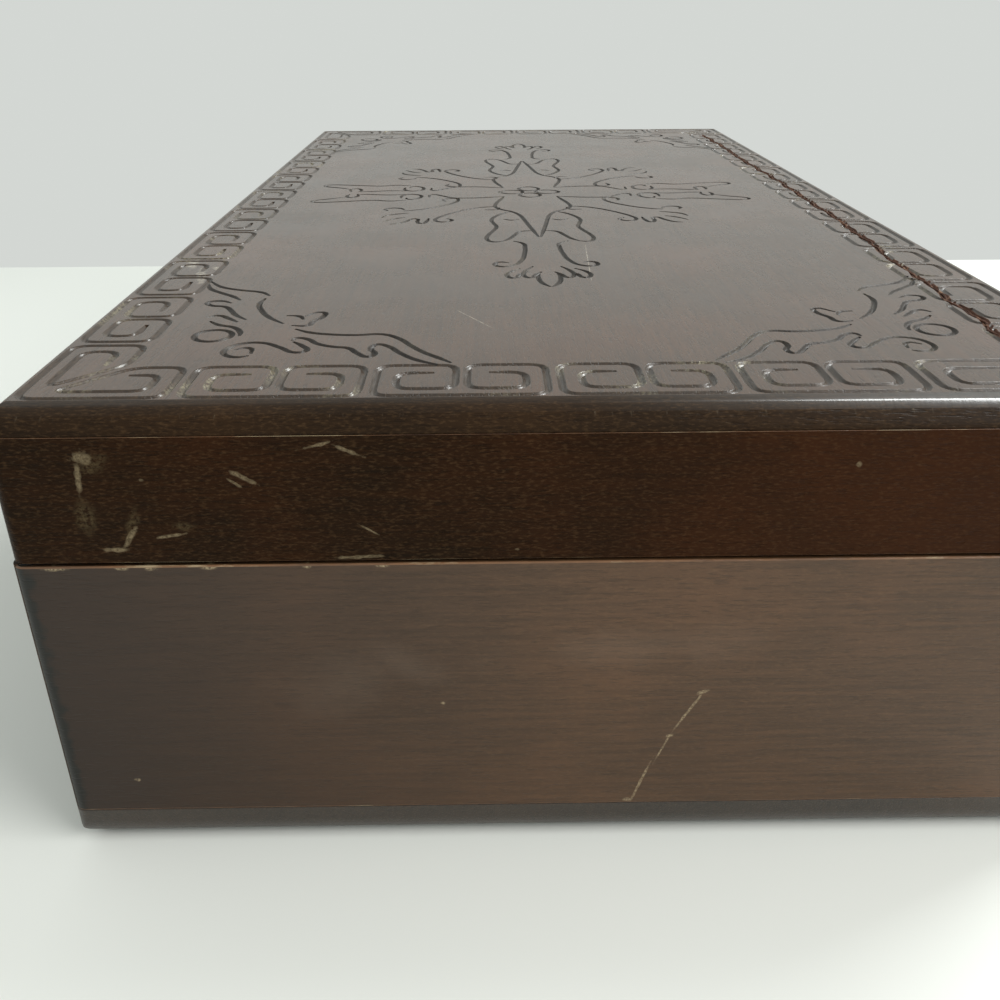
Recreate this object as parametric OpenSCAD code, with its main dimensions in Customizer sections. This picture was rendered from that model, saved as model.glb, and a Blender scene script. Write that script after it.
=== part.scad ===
// A long keepsake box with a hinged lid, lined with velvet and closed by a small brass hook.
// X runs along the box, Y from the latch side (-Y) to the hinge side (+Y), Z up.
// The origin is the middle of the underside.

/* [Case] */
// Outer length of the base
case_length = 382; // [320:1:440]
// Outer width of the base, latch side to hinge side
case_width = 200; // [160:1:240]
// Thickness of the walls and of the lid's rails
wall = 11; // [10:0.5:14]
// Radius of the four upright corners
corner_round = 2.6; // [1.5:0.1:4]
// Open seam between base and lid when shut
seam_gap = 0.6; // [0.4:0.1:1.2]

/* [Base] */
// Height of the base walls above the bottom board
base_wall_h = 55.6; // [45:0.5:90]
// Thickness of the bottom board
bottom_board_t = 8.5; // [6:0.5:10]
// Radius of the rounded lower edge
bottom_edge_r = 6; // [3:0.5:9]

/* [Lid] */
// Height of the lid's rails
lid_rail_h = 23.3; // [20:0.5:40]
// Thickness of the top board
top_board_t = 4; // [3.5:0.1:8]
// Radius of the arc along the top board's upper edge
top_edge_r = 7; // [5:0.5:9]
// Height of that arc, measured down the board's edge
top_edge_drop = 3.7; // [2:0.1:3.7]
// How far the lid stands in from the base, on each side
lid_setback = 0.3; // [0.1:0.1:0.5]
// How far the top board stands in from the lid's rails
rail_step = 0.25; // [0.1:0.05:0.5]

/* [Carving] */
// Radius of the rounding along the top board's two long edges
top_side_r = 2.5; // [2:0.1:2.5]
// Depth of the border's grooves
border_groove_d = 0.6; // [0.4:0.1:1.2]
// Width of the border's grooves
border_groove_w = 1.5; // [1:0.1:2]
// Depth of the grooves of the middle and corner ornaments
fine_groove_d = 0.5; // [0.3:0.1:1]
// Width of those grooves
fine_groove_w = 1; // [0.8:0.1:1.6]
// Number of spiral pairs along each end
end_pairs = 4; // [2:1:4]
// Number of spiral pairs along each side
side_pairs = 9; // [6:1:10]

/* [Lining] */
// Thickness of the velvet-covered lining boards
lining_t = 1.8; // [1.2:0.1:3]
// Bare wood left above the linings, below the seam and above it
lining_reveal = 2; // [1:0.5:5]
// Thickness of the padded floor
floor_pad_t = 5; // [4:0.5:8]
// Thickness of the padded panel in the lid
lid_pad_t = 4.5; // [4:0.5:8]
// Radius of the pads' rounded edge
pad_edge_r = 2.5; // [1:0.5:3]
// Clear space round each pad
pad_fit = 0.3; // [0.1:0.1:1]

/* [Hinges] */
// Angle at which the bevelled back edges stop the lid
stop_angle = 95; // [90:1:110]
// Angle left between the bevels at the stop
stop_play = 1; // [0.5:0.5:3]
// Distance from the back face to the hinge axis
hinge_inset = 3.2; // [2.8:0.1:4]
// Distance from each end of the box to the middle of the hinge near it
hinge_from_end = 76; // [60:1:110]
// Length of a hinge
hinge_length = 38; // [30:1:50]
// Thickness of a hinge leaf
leaf_t = 1.1; // [1:0.1:1.4]
// Width of a leaf from the hinge axis
leaf_width = 6.6; // [6.2:0.1:6.8]
// Radius of the knuckles
knuckle_r = 1.9; // [1.7:0.1:2.1]
// Number of knuckles on one hinge
knuckles = 5; // [3, 5, 7]
// Radius of the hinge pin
hinge_pin_r = 0.7; // [0.5:0.1:0.9]
// Clear space between neighbouring knuckles
knuckle_gap = 0.15; // [0.1:0.05:0.3]
// Clear space between the hinge and the wood cut for it
hinge_fit = 0.35; // [0.25:0.05:0.5]

/* [Screws] */
// Number of screws in a leaf
leaf_screws = 3; // [2, 3]
// Radius of a screw's shank
screw_r = 0.8; // [0.6:0.1:1]
// Radius of a screw's head
screw_head_r = 1.45; // [1.3:0.05:1.5]
// Height of the countersunk head
screw_head_h = 0.8; // [0.6:0.1:0.9]
// Length of a screw
screw_length = 9; // [6:0.5:12]

/* [Latch] */
// Thickness of the brass plates
plate_t = 1; // [0.8:0.1:1.5]
// Width of the lid's latch plate
latch_plate_w = 13; // [11.5:0.5:18]
// Height of the lid's latch plate
latch_plate_h = 16; // [13:0.5:18]
// Height of the hook's pivot above the seam
pivot_height = 11; // [9:0.5:12]
// Distance from the pivot to the catch stud
hook_reach = 20; // [19:0.5:24]
// Thickness of the hook
hook_t = 1.4; // [1:0.1:2]
// Width of the hook's arm
hook_arm_w = 4.4; // [3.6:0.1:5]
// Radius of the ring round the hook's pivot
hook_eye_r = 4; // [3.4:0.1:5]
// Radius of the round end that holds the stud
hook_end_r = 4.6; // [4.2:0.1:5.5]
// Angle that the free hook is swung aside
hook_swing = 75; // [60:1:90]
// Radius of the pivot rivet and of the stud's neck
neck_r = 1.5; // [1.2:0.1:1.6]
// Radius of the heads of rivet and stud
stud_head_r = 2.7; // [2.3:0.1:3]
// Thickness of those heads
stud_head_t = 1; // [0.6:0.1:1.5]
// Radius of the pins that hold the plates
plate_pin_r = 0.6; // [0.4:0.1:0.8]
// Length of the pins and of the tails of rivet and stud
plate_pin_length = 8; // [5:0.5:9]

/* [Fits] */
// Clear space round the hinge pin and the latch rivet where they turn
running_fit = 0.05; // [0.02:0.01:0.1]
// Clear space on each side of the hook, and between shut leaves
side_fit = 0.2; // [0.1:0.05:0.4]
// Clear space between the stud's neck and the hook's slot
slot_fit = 0.3; // [0.2:0.05:0.5]
// Clear space round a fastener in its hole
hole_fit = 0.03; // [0.01:0.01:0.05]

/* [Hidden] */
$fn = 48;
EPS = 0.01;
WOOD = "#3a241a";
WOOD_RED = "#45281c";
VELVET = "#5a1420";
BRASS = "#b08d45";

// Least bare edge round the latch plates
plate_edge = 1.5;
// Least flat left beside a rounded board edge
edge_land = 0.3;
// How far cuts run past a hinge's ends
past_end = 1;
// How far the carving's cuts run above the board
past_face = 1;
// Longer than anything that is cut right through
through = 2 * case_length;
// Distance from a leaf's end to its outer screw
screw_from_end = 6;
// Spread of a plate pin's head, as a share of its shank
pin_head_spread = 1.6;
// How far the hook's finger stands beside the middle of its round end, and below it
finger_out = 3.2;
finger_down = 3.9;

// Distances of the border's outer and inner lines from the case's end, latch side and hinge side
end_band = [7.6, 22.6];
latch_band = [4, 17.6];
hinge_band = [4.2, 19.2];
// Lengths of the border's corner pieces, along the end and along the side: at the right end by
// the latch side and the hinge side, and at the left end by the same sides
right_latch_corner = [29.8, 36.7];
right_hinge_corner = [41.7, 43.5];
left_latch_corner = [32, 40.2];
left_hinge_corner = [38, 27.1];
// Clear space between neighbouring pairs, and between a pair's two spirals, halved
pair_gap = 1.2;
spiral_gap = 1;
// Where a spiral's inner line lies: above the outer line, below the inner one, in from the far
// side, and how far it stops short of the near side
inner_low = 3.1;
inner_high = 4;
inner_side = 3.6;
inner_end = 3.8;
// How far a corner spiral's slanting line stands off the mitre at its top, its foot and its end
mitre_top = 1.7;
mitre_foot = 2;
mitre_end_gap = 5.6;
// Where the middle ornament lies on the board
ornament_at = [-8.4, -2.6];

bottom_round = min(bottom_edge_r, bottom_board_t - edge_land);
top_drop = min(top_edge_drop, top_board_t - edge_land);
top_side_round = min(top_side_r, top_board_t - edge_land);
base_top = bottom_board_t + base_wall_h;
seam_z = base_top + seam_gap / 2;
lid_bottom = base_top + seam_gap;
lid_top = lid_bottom + lid_rail_h;
lid_length = case_length - 2 * lid_setback;
lid_width = case_width - 2 * lid_setback;
inner_length = case_length - 2 * wall;
inner_width = case_width - 2 * wall;
lid_wall = wall - lid_setback;
axis_y = case_width / 2 - hinge_inset;
hinge_spacing = case_length / 2 - hinge_from_end;
bevel = (stop_angle + stop_play) / 2;
knuckle_length = (hinge_length - (knuckles - 1) * knuckle_gap) / knuckles;
leaf_play = side_fit / 4;
screw_y = axis_y - (leaf_width + knuckle_r) / 2 - hinge_fit / 2;
screw_pitch = (hinge_length - 2 * screw_from_end) / 2;
front_y = -case_width / 2;
lid_front_y = front_y + lid_setback;
pivot_z = seam_z + pivot_height;
stud_z = pivot_z - hook_reach;
catch_plate_size = 2 * (stud_head_r + 3 * plate_pin_r + plate_edge);
hook_back_y = front_y - plate_t - side_fit;
lid_plate_t = lid_setback + plate_t;
latch_plate_z = lid_bottom + plate_edge + latch_plate_h / 2;
pin_edge = 2.2 * plate_pin_r;

// Shared shapes

// An upright block with rounded corners, centred on the axis
module rounded_block(length, width, height, radius) {
  translate([-length / 2 + radius, -width / 2, 0])
    cube([length - 2 * radius, width, height]);
  translate([-length / 2, -width / 2 + radius, 0])
    cube([length, width - 2 * radius, height]);
  for (x = [-1, 1], y = [-1, 1])
    translate([x * (length / 2 - radius), y * (width / 2 - radius), 0])
      cylinder(r = radius, h = height);
}

// A slab along X whose two long upper edges follow an arc, radius r, that drops by drop
module arc_edged_slab(length, width, height, r, drop) {
  run = sqrt(r * r - (r - drop) * (r - drop));
  translate([-length / 2, -width / 2, 0])
    cube([length, width, height - drop]);
  translate([-length / 2, -width / 2 + run, 0])
    cube([length, width - 2 * run, height]);
  intersection() {
    for (side = [-1, 1])
      translate([-length / 2, side * (width / 2 - run), height - r])
        rotate([0, 90, 0])
          cylinder(r = r, h = length);
    translate([-length / 2, -width / 2, 0])
      cube([length, width, height]);
  }
}

// A board with an arc along all four upper edges, rounded by side_r along X, and rounded corners
module board(length, width, height, r, drop, side_r, corner) {
  intersection() {
    arc_edged_slab(length, width, height, side_r, min(side_r, drop));
    rotate([0, 0, 90])
      arc_edged_slab(width, length, height, r, drop);
    rounded_block(length, width, height, corner);
  }
}

// The wedge of a mitred frame on the -Y side, full height
module mitre_long(length, width, thick, height) {
  linear_extrude(height)
    polygon([
      [-length / 2, -width / 2],
      [length / 2, -width / 2],
      [length / 2 - thick, -width / 2 + thick],
      [-length / 2 + thick, -width / 2 + thick]
    ]);
}

// The wedge of a mitred frame on the -X side, full height
module mitre_end(length, width, thick, height) {
  linear_extrude(height)
    polygon([
      [-length / 2, -width / 2],
      [-length / 2 + thick, -width / 2 + thick],
      [-length / 2 + thick, width / 2 - thick],
      [-length / 2, width / 2]
    ]);
}

module base_wall_long() {
  translate([0, 0, bottom_board_t])
    intersection() {
      mitre_long(case_length, case_width, wall, base_wall_h);
      rounded_block(case_length, case_width, base_wall_h, corner_round);
    }
}

module base_wall_end() {
  translate([0, 0, bottom_board_t])
    intersection() {
      mitre_end(case_length, case_width, wall, base_wall_h);
      rounded_block(case_length, case_width, base_wall_h, corner_round);
    }
}

module lid_rail_long() {
  translate([0, 0, lid_bottom])
    intersection() {
      mitre_long(lid_length, lid_width, lid_wall, lid_rail_h);
      rounded_block(lid_length, lid_width, lid_rail_h, corner_round);
    }
}

module lid_rail_end() {
  translate([0, 0, lid_bottom])
    intersection() {
      mitre_end(lid_length, lid_width, lid_wall, lid_rail_h);
      rounded_block(lid_length, lid_width, lid_rail_h, corner_round);
    }
}

// What the stop bevel takes off: side is -1 below the seam, 1 above it
module bevel_cut(side) {
  reach = 2 * hinge_inset;
  translate([-through / 2, axis_y, seam_z])
    rotate([90, 0, 90])
      linear_extrude(through)
        polygon([
          [0, 0],
          [reach, side * reach * tan(bevel)],
          [reach, -side * seam_gap],
          [0, -side * seam_gap]
        ]);
}

// The round pocket for a barrel and the shallow one for a leaf, side as above
module hinge_pocket(side) {
  length = hinge_length + 2 * hinge_fit;
  for (x = [-1, 1])
    translate([x * hinge_spacing - length / 2, axis_y, seam_z]) {
      rotate([0, 90, 0])
        cylinder(r = knuckle_r + hinge_fit, h = length);
      translate([0, -leaf_width - hinge_fit, side > 0 ? 0 : -leaf_t])
        cube([length, leaf_width + hinge_fit, leaf_t]);
    }
}

// Runs its children at every screw of one hinge, with -Z into the base's wood
module at_leaf_screws() {
  for (i = [0 : leaf_screws - 1])
    translate([(i - (leaf_screws - 1) / 2) * screw_pitch, screw_y, seam_z - leaf_play])
      children();
}

// A countersunk wood screw, larger by grow, its head's face at the origin and its tip down
module screw(grow) {
  translate([0, 0, -screw_head_h])
    cylinder(r1 = screw_r + grow, r2 = screw_head_r + grow, h = screw_head_h);
  translate([0, 0, -screw_length - grow])
    cylinder(r = screw_r + grow, h = screw_length + grow - screw_head_h + EPS);
}

module screw_hole() {
  screw(hole_fit);
  translate([0, 0, -EPS])
    cylinder(r = screw_head_r + hole_fit, h = leaf_t);
}

module slotted_screw() {
  difference() {
    screw(0);
    translate([-screw_head_r, -screw_r / 4, -screw_head_h / 3])
      cube([2 * screw_head_r, screw_r / 2, screw_head_h]);
  }
}

// Holes in the base's back wall for the screws of both hinges
module leaf_screw_holes() {
  for (x = [-1, 1])
    translate([x * hinge_spacing, 0, 0])
      at_leaf_screws()
        screw_hole();
}

// Mirrors its children in the seam plane
module above_seam() {
  translate([0, 0, seam_z])
    mirror([0, 0, 1])
      translate([0, 0, -seam_z])
        children();
}

// Start of knuckle i along a hinge that is centred on X = 0
function knuckle_x(i) = -hinge_length / 2 + i * (knuckle_length + knuckle_gap);

// One leaf below the seam, with every second knuckle from first on
module leaf(first, bore_r) {
  difference() {
    union() {
      translate([-hinge_length / 2, axis_y - leaf_width, seam_z - leaf_t])
        cube([hinge_length, leaf_width, leaf_t - leaf_play]);
      for (i = [first : 2 : knuckles - 1])
        translate([knuckle_x(i), axis_y, seam_z])
          rotate([0, 90, 0])
            cylinder(r = knuckle_r, h = knuckle_length);
    }
    for (i = [1 - first : 2 : knuckles - 1])
      translate([
        knuckle_x(i) - (i == 0 ? past_end : knuckle_gap),
        axis_y - knuckle_r - knuckle_gap,
        seam_z - leaf_t - EPS
      ])
        cube([
          knuckle_length + knuckle_gap + (i == 0 || i == knuckles - 1 ? past_end : knuckle_gap),
          leaf_width,
          leaf_t + 2 * EPS
        ]);
    translate([-hinge_length, axis_y, seam_z])
      rotate([0, 90, 0])
        cylinder(r = bore_r, h = 2 * hinge_length);
    at_leaf_screws()
      screw_hole();
  }
}

module hinge_pin() {
  translate([-hinge_length / 2, axis_y, seam_z])
    rotate([0, 90, 0])
      cylinder(r = hinge_pin_r, h = hinge_length);
}

// Runs its children facing -Y at the given height, their Z pointing out of the box
module facing_front(y, z) {
  translate([0, y, z])
    rotate([90, 0, 0])
      children();
}

// A headed post: neck through what it holds, head outside, tail into the wood
module headed_post(wood_y, z) {
  facing_front(wood_y, z) {
    translate([0, 0, -plate_pin_length])
      cylinder(r = neck_r, h = plate_pin_length + wood_y - hook_back_y + hook_t + side_fit);
    translate([0, 0, wood_y - hook_back_y + hook_t + side_fit])
      cylinder(r = stud_head_r, h = stud_head_t);
  }
}

module post_hole(wood_y, z) {
  facing_front(wood_y, z)
    translate([0, 0, -plate_pin_length - hole_fit])
      cylinder(r = neck_r + hole_fit, h = plate_pin_length + 3 * plate_t + hole_fit);
}

// Runs its children at the four corners of the lid plate, or the catch plate
module at_plate_pins(wood_y, z, width, height) {
  for (x = [-1, 1], up = [-1, 1])
    translate([x * (width / 2 - 2 * pin_edge), 0, up * (height / 2 - 2 * pin_edge)])
      facing_front(wood_y, z)
        children();
}

// A round-headed pin driven through a plate of the given thickness
module plate_pin(thick) {
  translate([0, 0, -plate_pin_length])
    cylinder(r = plate_pin_r, h = plate_pin_length + thick);
  translate([0, 0, thick])
    cylinder(r1 = pin_head_spread * plate_pin_r, r2 = plate_pin_r, h = side_fit / 2);
}

module plate_pin_hole(thick) {
  translate([0, 0, -plate_pin_length - hole_fit])
    cylinder(r = plate_pin_r + hole_fit, h = plate_pin_length + thick + 2 * hole_fit);
}

module lid_plate_pin_holes() {
  at_plate_pins(lid_front_y, latch_plate_z, latch_plate_w, latch_plate_h)
    plate_pin_hole(lid_plate_t);
}

module catch_pin_holes() {
  at_plate_pins(front_y, stud_z, catch_plate_size, catch_plate_size)
    plate_pin_hole(plate_t);
}

// Base

module bottom_board() {
  color(WOOD)
    translate([0, 0, bottom_board_t])
      mirror([0, 0, 1])
        board(
          case_length, case_width, bottom_board_t,
          bottom_round, bottom_round, bottom_round, corner_round
        );
}

module base_front_wall() {
  color(WOOD)
    difference() {
      base_wall_long();
      post_hole(front_y, stud_z);
      catch_pin_holes();
    }
}

module base_back_wall() {
  color(WOOD)
    difference() {
      mirror([0, 1, 0])
        base_wall_long();
      bevel_cut(-1);
      hinge_pocket(-1);
      leaf_screw_holes();
    }
}

module base_left_wall() {
  color(WOOD)
    difference() {
      base_wall_end();
      bevel_cut(-1);
    }
}

module base_right_wall() {
  mirror([1, 0, 0])
    base_left_wall();
}

module floor_pad() {
  color(VELVET)
    translate([0, 0, bottom_board_t])
      board(
        inner_length - 2 * (lining_t + pad_fit), inner_width - 2 * (lining_t + pad_fit),
        floor_pad_t, pad_edge_r, pad_edge_r, pad_edge_r, corner_round
      );
}

// A lining board along the -Y wall, from z0 up by height
module lining_long(z0, height) {
  color(VELVET)
    translate([-inner_length / 2, -inner_width / 2, z0])
      cube([inner_length, lining_t, height]);
}

// A lining board along the -X wall, between the two long ones
module lining_end(z0, height) {
  color(VELVET)
    translate([-inner_length / 2, -inner_width / 2 + lining_t, z0])
      cube([lining_t, inner_width - 2 * lining_t, height]);
}

module base_front_lining() {
  lining_long(bottom_board_t, base_wall_h - lining_reveal);
}

module base_back_lining() {
  mirror([0, 1, 0])
    base_front_lining();
}

module base_left_lining() {
  lining_end(bottom_board_t, base_wall_h - lining_reveal);
}

module base_right_lining() {
  mirror([1, 0, 0])
    base_left_lining();
}

module base_leaf(side) {
  color(BRASS)
    translate([side * hinge_spacing, 0, 0])
      leaf(0, hinge_pin_r + hole_fit);
}

module base_leaf_left() {
  base_leaf(-1);
}

module base_leaf_right() {
  base_leaf(1);
}

module hinge_pin_left() {
  color(BRASS)
    translate([-hinge_spacing, 0, 0])
      hinge_pin();
}

module hinge_pin_right() {
  color(BRASS)
    translate([hinge_spacing, 0, 0])
      hinge_pin();
}

module base_hinge_screws() {
  color(BRASS)
    for (x = [-1, 1])
      translate([x * hinge_spacing, 0, 0])
        at_leaf_screws()
          slotted_screw();
}

module catch_plate() {
  color(BRASS)
    difference() {
      facing_front(front_y, stud_z)
        rounded_block(catch_plate_size, catch_plate_size, plate_t, pin_edge);
      post_hole(front_y, stud_z);
      catch_pin_holes();
    }
}

module catch_stud() {
  color(BRASS)
    headed_post(front_y, stud_z);
}

module catch_plate_pins() {
  color(BRASS)
    at_plate_pins(front_y, stud_z, catch_plate_size, catch_plate_size)
      plate_pin(plate_t);
}

// Carving of the top board: grooves that follow lines of points

function unit(v) = v / norm(v);
function left_of(v) = [-v.y, v.x];
function mitre(before, after) = (left_of(before) + left_of(after)) / (1 + before * after);
function way(line, i) = unit(line[i + 1] - line[i]);
function beside(line, i, off) =
  line[i] + off * mitre(way(line, max(i - 1, 0)), way(line, min(i, len(line) - 2)));
function flipped(line, sx, sy) = [for (p = line) [sx * p.x, sy * p.y]];
function turned_back(line) = [for (i = [len(line) - 1 : -1 : 0]) line[i]];

// The outline of a groove of the given width along a line of points
module groove(line, width) {
  last = len(line) - 1;
  polygon(concat(
    [for (i = [0 : last]) beside(line, i, width / 2)],
    [for (i = [last : -1 : 0]) beside(line, i, -width / 2)]
  ));
}

// Sinks the outlines of grooves into the board's face
module sunk(depth) {
  translate([0, 0, lid_top + top_board_t - depth])
    linear_extrude(depth + past_face)
      children();
}

// Half a spiral pair, as [along the band, in from the edge], without the pair's middle
function spiral(middle, far, band) =
  let (
    side = sign(far - middle),
    near = middle + side * spiral_gap,
    bend = far - side * inner_side,
    low = band[0] + inner_low,
    high = band[1] - inner_high
  )
  [
    [far, band[0]], [far, band[1]], [near, band[1]], [near, low],
    [bend, low], [bend, high], [near + side * inner_end, high]
  ];

function spiral_pair(start, end, band) =
  let (middle = (start + end) / 2)
  concat(
    turned_back(spiral(middle, start + pair_gap, band)),
    spiral(middle, end - pair_gap, band)
  );

// The pairs along an end, side is -1 for the left end and 1 for the right one
module end_border(side, latch_corner, hinge_corner) {
  start = -case_width / 2 + latch_corner[0];
  step = (case_width - latch_corner[0] - hinge_corner[0]) / end_pairs;
  for (i = [0 : end_pairs - 1])
    groove(
      [for (p = spiral_pair(start + i * step, start + (i + 1) * step, end_band))
        [side * (case_length / 2 - p.y), p.x]],
      border_groove_w
    );
}

// The pairs along a side, side is -1 for the latch side and 1 for the hinge side
module side_border(side, band, left_corner, right_corner) {
  start = -case_length / 2 + left_corner[1];
  step = (case_length - left_corner[1] - right_corner[1]) / side_pairs;
  for (i = [0 : side_pairs - 1])
    groove(
      [for (p = spiral_pair(start + i * step, start + (i + 1) * step, band))
        [p.x, side * (case_width / 2 - p.y)]],
      border_groove_w
    );
}

// The mitred spiral of a corner, as [along, in from the edge], on the band it lies in. The inner
// line turns back only where the corner leaves it room.
function corner_spiral(reach, band, other) =
  let (
    slope = (other[1] - other[0]) / (band[1] - band[0]),
    low = band[0] + inner_low,
    high = band[1] - inner_high,
    far = reach - pair_gap,
    bend = far - inner_side,
    stop = other[0] + slope * (high - band[0]) + mitre_end_gap
  )
  concat(
    [
      [far, band[0]], [far, band[1]], [other[1] + mitre_top, band[1]],
      [other[0] + slope * inner_low + mitre_foot, low], [bend, low]
    ],
    bend - stop > border_groove_w ? [[bend, high], [stop, high]] : [[bend, (low + high) / 2]]
  );

// A corner's two spirals, drawn as one line through the corner
function corner_line(corner, side_band) =
  concat(
    [for (p = turned_back(corner_spiral(corner[0], end_band, side_band)))
      [case_length / 2 - p.y, case_width / 2 - p.x]],
    [[case_length / 2 - end_band[0], case_width / 2 - side_band[0]]],
    [for (p = corner_spiral(corner[1], side_band, end_band))
      [case_length / 2 - p.x, case_width / 2 - p.y]]
  );

module corner_spirals() {
  groove(flipped(corner_line(right_latch_corner, latch_band), 1, -1), border_groove_w);
  groove(flipped(corner_line(right_hinge_corner, hinge_band), 1, 1), border_groove_w);
  groove(flipped(corner_line(left_latch_corner, latch_band), -1, -1), border_groove_w);
  groove(flipped(corner_line(left_hinge_corner, hinge_band), -1, 1), border_groove_w);
}

// A quarter of the middle ornament's main lines, as [across the box, along it] from its middle
ORNAMENT_LINES = [
  [[8.8, 8.4], [11.5, 21], [11.8, 27], [6.8, 34.6], [3.6, 46], [1.8, 63], [1.4, 70]],
  [[10.8, 8.8], [20, 10.8], [26, 10], [32.2, 4.4]],
  [[42.4, 10], [37.8, 11.2], [36.4, 8], [40.4, 3.6], [48, 4], [58, 2.6]],
  [[61.4, 7.2], [70, 12.8], [70, 16.6], [51.5, 13.6], [46, 15.2], [41, 13.8]],
  [[24.6, 11.8], [24.8, 18.6], [32.6, 28.2], [40.4, 32.2]],
  [[14, 27.2], [19.8, 29.8], [26.8, 38.6], [30, 46.6], [25.8, 48.8]],
  [[32, 44], [33, 51.4], [35.4, 51.4], [36.6, 44.8], [40.6, 51.4]],
  [[8.4, 36.4], [11.6, 41], [13.2, 47], [11.8, 57], [14.6, 73.4], [11.6, 75.2]],
  [[3.2, 63], [4.8, 63.4], [9.6, 74.4]],
  [[7.4, 77.4], [4.6, 84], [5, 91], [8.6, 103.4], [12.8, 101.8]],
  [[3.4, 105.6], [6, 113], [4.4, 115.2], [1.6, 121.6]],
  [[1, 2.6], [3, 5], [2.2, 8.4]]
];

// A corner ornament's main lines, as [in from the side, in from the end]
CORNER_LINES = [
  [[21.6, 80.4], [27, 75], [34.4, 70]],
  [[33.8, 68], [34.8, 58.6], [41.2, 48.8]],
  [[44.2, 45.2], [51.6, 41.4], [62, 41.2], [68, 34], [75, 25.4]],
  [[21.4, 76.4], [28.6, 66.6]],
  [[24, 63.6], [28.4, 58.6], [33, 51.8]],
  [[25.8, 51], [33.6, 43.4], [34, 40.8]],
  [[28.6, 37.8], [25.8, 39.4], [25.8, 43], [28.6, 44.4]],
  [[33.8, 31.6], [35.6, 36], [39.4, 36.4], [46.8, 30.4], [46.4, 35]],
  [[47.6, 38.6], [53.4, 33.6], [60, 28.4], [61.8, 34.6], [66.4, 29.8], [70.6, 26.2]]
];

module middle_ornament() {
  for (line = ORNAMENT_LINES, sx = [-1, 1], sy = [-1, 1])
    groove(
      [for (p = line) [ornament_at.x + sx * p.y, ornament_at.y + sy * p.x]],
      fine_groove_w
    );
}

module corner_ornaments() {
  for (line = CORNER_LINES, sx = [-1, 1], sy = [-1, 1])
    groove(
      [for (p = line) [sx * (case_length / 2 - p.y), sy * (case_width / 2 - p.x)]],
      fine_groove_w
    );
}

// Lid

module plain_top_board() {
  translate([0, 0, lid_top])
    board(
      lid_length - 2 * rail_step, lid_width - 2 * rail_step, top_board_t,
      top_edge_r, top_drop, top_side_round, corner_round
    );
}

module top_board() {
  color(WOOD_RED)
    difference() {
      plain_top_board();
      sunk(border_groove_d) {
        end_border(1, right_latch_corner, right_hinge_corner);
        end_border(-1, left_latch_corner, left_hinge_corner);
        side_border(-1, latch_band, left_latch_corner, right_latch_corner);
        side_border(1, hinge_band, left_hinge_corner, right_hinge_corner);
        corner_spirals();
      }
      sunk(fine_groove_d) {
        middle_ornament();
        corner_ornaments();
      }
    }
}

module lid_front_rail() {
  color(WOOD_RED)
    difference() {
      lid_rail_long();
      post_hole(lid_front_y, pivot_z);
      lid_plate_pin_holes();
    }
}

module lid_back_rail() {
  color(WOOD_RED)
    difference() {
      mirror([0, 1, 0])
        lid_rail_long();
      bevel_cut(1);
      hinge_pocket(1);
      above_seam()
        leaf_screw_holes();
    }
}

module lid_left_rail() {
  color(WOOD_RED)
    difference() {
      lid_rail_end();
      bevel_cut(1);
    }
}

module lid_right_rail() {
  mirror([1, 0, 0])
    lid_left_rail();
}

module lid_pad() {
  color(VELVET)
    translate([0, 0, lid_top])
      mirror([0, 0, 1])
        board(
          inner_length - 2 * (lining_t + pad_fit), inner_width - 2 * (lining_t + pad_fit),
          lid_pad_t, pad_edge_r, pad_edge_r, pad_edge_r, corner_round
        );
}

module lid_front_lining() {
  lining_long(lid_bottom + lining_reveal, lid_rail_h - lining_reveal);
}

module lid_back_lining() {
  mirror([0, 1, 0])
    lid_front_lining();
}

module lid_left_lining() {
  lining_end(lid_bottom + lining_reveal, lid_rail_h - lining_reveal);
}

module lid_right_lining() {
  mirror([1, 0, 0])
    lid_left_lining();
}

module lid_leaf(side) {
  color(BRASS)
    translate([side * hinge_spacing, 0, 0])
      above_seam()
        leaf(1, hinge_pin_r + running_fit);
}

module lid_leaf_left() {
  lid_leaf(-1);
}

module lid_leaf_right() {
  lid_leaf(1);
}

module lid_hinge_screws() {
  color(BRASS)
    above_seam()
      for (x = [-1, 1])
        translate([x * hinge_spacing, 0, 0])
          at_leaf_screws()
            slotted_screw();
}

module latch_plate() {
  color(BRASS)
    difference() {
      facing_front(lid_front_y, latch_plate_z)
        rounded_block(latch_plate_w, latch_plate_h, lid_plate_t, pin_edge);
      post_hole(lid_front_y, pivot_z);
      lid_plate_pin_holes();
    }
}

module latch_rivet() {
  color(BRASS)
    headed_post(lid_front_y, pivot_z);
}

module latch_plate_pins() {
  color(BRASS)
    at_plate_pins(lid_front_y, latch_plate_z, latch_plate_w, latch_plate_h)
      plate_pin(lid_plate_t);
}

// Latch hook, drawn latched about its pivot, with the mouth open to -X, then swung aside

module hook_shape() {
  slot_r = neck_r + slot_fit;
  difference() {
    union() {
      cylinder(r = hook_eye_r, h = hook_t);
      translate([-hook_arm_w / 2, -hook_reach, 0])
        cube([hook_arm_w, hook_reach, hook_t]);
      translate([0, -hook_reach, 0])
        cylinder(r = hook_end_r, h = hook_t);
      translate([finger_out, -hook_reach - finger_down, 0])
        cylinder(r = hook_arm_w / 2, h = hook_t);
    }
    translate([0, 0, -EPS])
      cylinder(r = neck_r + running_fit, h = hook_t + 2 * EPS);
    translate([0, -hook_reach, -EPS])
      cylinder(r = slot_r, h = hook_t + 2 * EPS);
    intersection() {
      difference() {
        translate([0, 0, -EPS])
          cylinder(r = hook_reach + slot_r, h = hook_t + 2 * EPS);
        translate([0, 0, -2 * EPS])
          cylinder(r = hook_reach - slot_r, h = hook_t + 4 * EPS);
      }
      translate([-2 * hook_end_r, -2 * hook_reach, -EPS])
        cube([2 * hook_end_r, 2 * hook_reach, hook_t + 2 * EPS]);
    }
  }
}

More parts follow.
